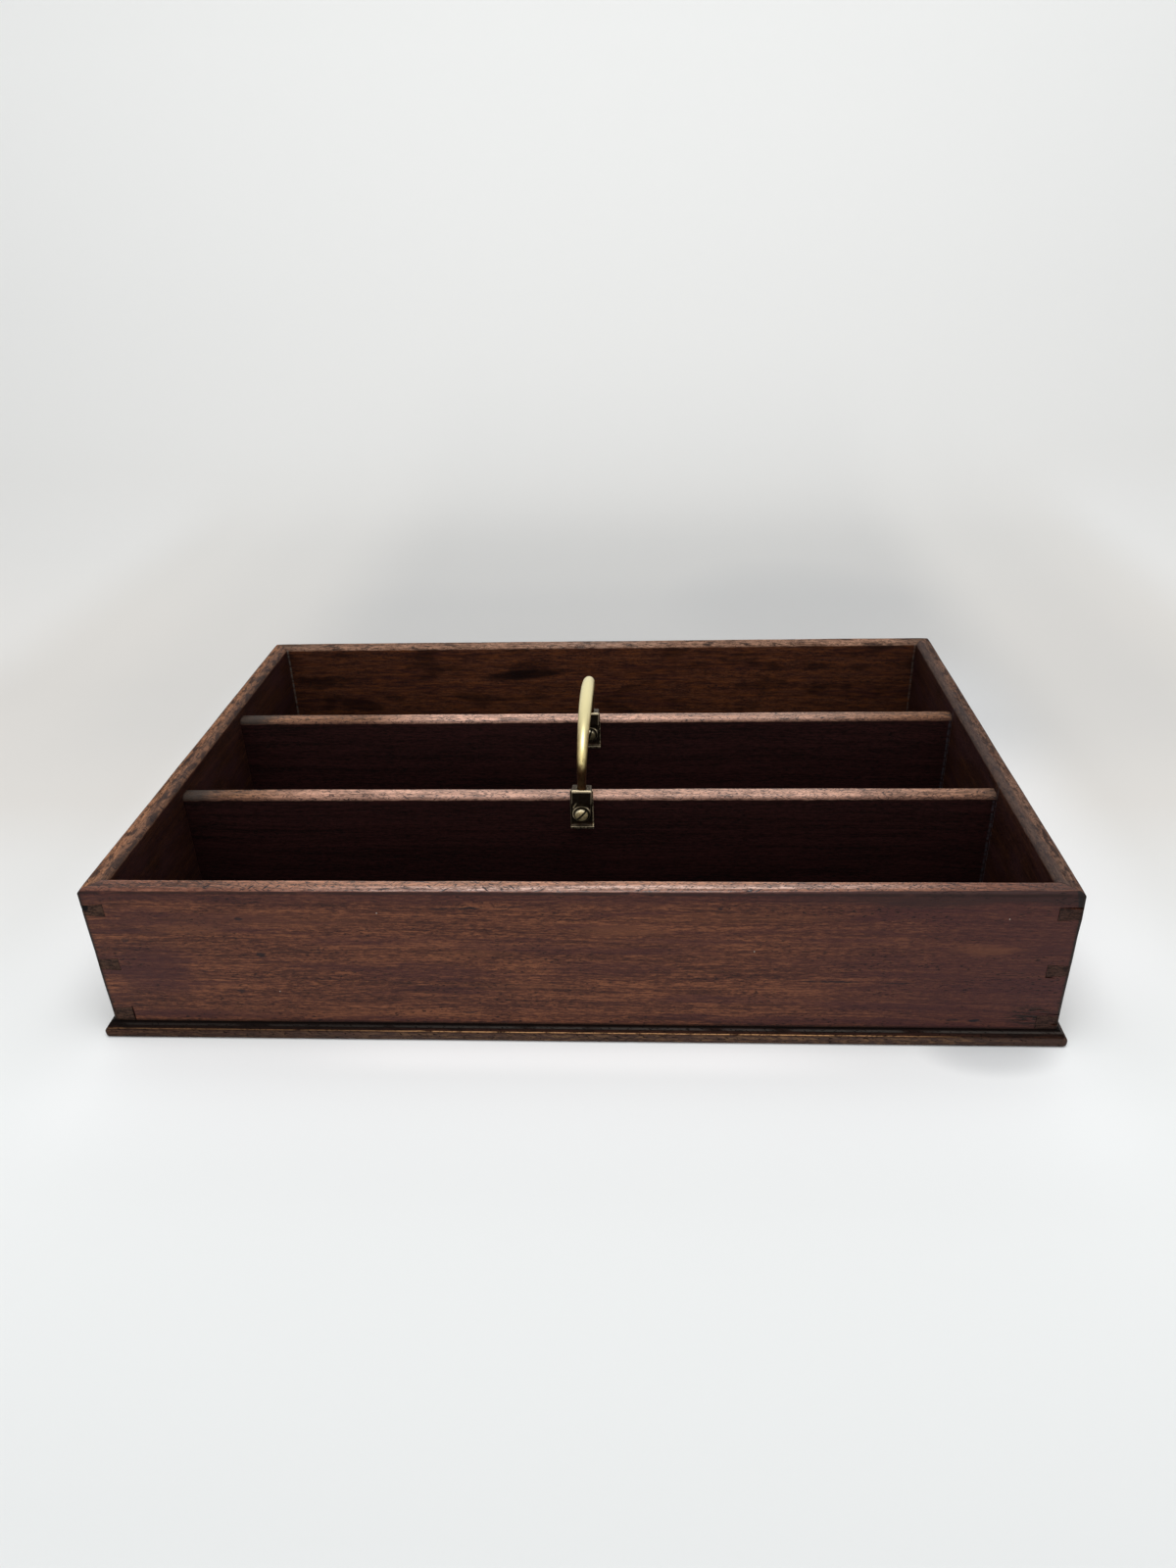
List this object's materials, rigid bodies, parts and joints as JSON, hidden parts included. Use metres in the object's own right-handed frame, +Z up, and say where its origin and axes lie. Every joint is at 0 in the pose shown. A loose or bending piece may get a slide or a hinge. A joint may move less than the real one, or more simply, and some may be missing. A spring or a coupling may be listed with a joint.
{
  "type": "cutlery box",
  "caption": "Open dovetailed wooden cutlery box with a moulded base, long divided bays and a brass bail handle that swings on pivots in the dividers.",
  "frame": {"origin": "centre of the base board's underside, on the surface that the box stands on", "axes": "+X to the right along the box's length, +Y to the back, +Z up"},
  "size_m": [0.408, 0.279, 0.1051],
  "materials": {
    "case_wood": "old waxed mahogany",
    "end_wood": "old waxed mahogany",
    "divider_wood": "dark dry mahogany",
    "base_wood": "darkened moulded hardwood",
    "polished_brass": "polished by handling",
    "old_brass": "dark patinated brass",
    "screw_brass": "worn brass",
    "iron": "darkened iron"
  },
  "bodies": {
    "case": {"base_board": "base_wood", "front_board": "case_wood", "back_board": "case_wood", "left_end_board": "end_wood", "right_end_board": "end_wood", "front_divider": "divider_wood", "rear_divider": "divider_wood", "front_pivot_plate": "old_brass", "rear_pivot_plate": "old_brass", "front_pivot_screw": "screw_brass", "rear_pivot_screw": "screw_brass", "base_screw_1": "iron", "base_screw_2": "iron", "base_screw_3": "iron", "base_screw_4": "iron", "base_screw_5": "iron", "base_screw_6": "iron", "base_screw_7": "iron", "base_screw_8": "iron", "base_screw_9": "iron", "base_screw_10": "iron"},
    "handle": {"handle_bail": "polished_brass", "front_knuckle": "old_brass", "rear_knuckle": "old_brass"}
  },
  "joints": [
    {"name": "handle_swing", "type": "hinge", "parent": "case", "child": "handle", "pos_m": [0.0003, 0, 0.061], "axis": [0, 1, 0], "range_deg": [-73.5, 69.5]}
  ]
}
